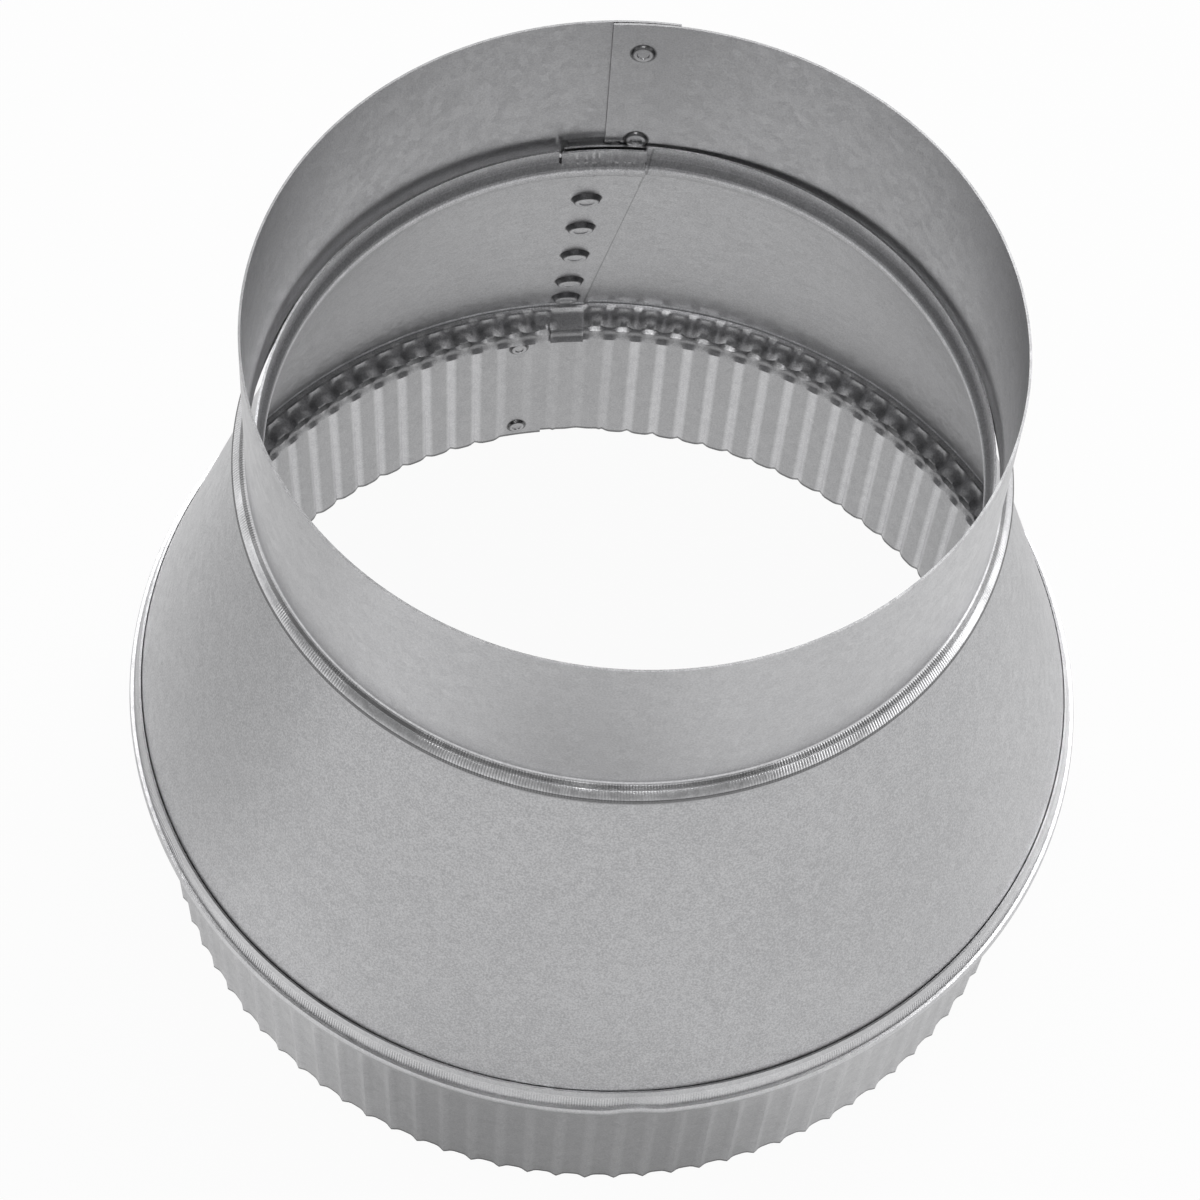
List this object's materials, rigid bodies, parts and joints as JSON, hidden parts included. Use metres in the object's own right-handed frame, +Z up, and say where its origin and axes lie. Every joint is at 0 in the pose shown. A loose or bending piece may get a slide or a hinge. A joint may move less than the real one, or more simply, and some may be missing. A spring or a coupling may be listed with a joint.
{
  "type": "duct reducer",
  "caption": "Round sheet-steel duct reducer: a plain small collar and a crimped large collar locked to a tapered cone, with clinched laps at the back.",
  "frame": {"origin": "on the duct's axis, at the bottom edge of the crimped large end", "axes": "+Z up the duct's axis to the small end, +Y to the back, where the laps are"},
  "size_m": [0.2111, 0.2114, 0.183],
  "materials": {
    "galvanised_steel": "bright galvanised sheet"
  },
  "bodies": {
    "root": {"small_collar": "galvanised_steel", "cone": "galvanised_steel", "large_collar": "galvanised_steel"}
  },
  "joints": []
}
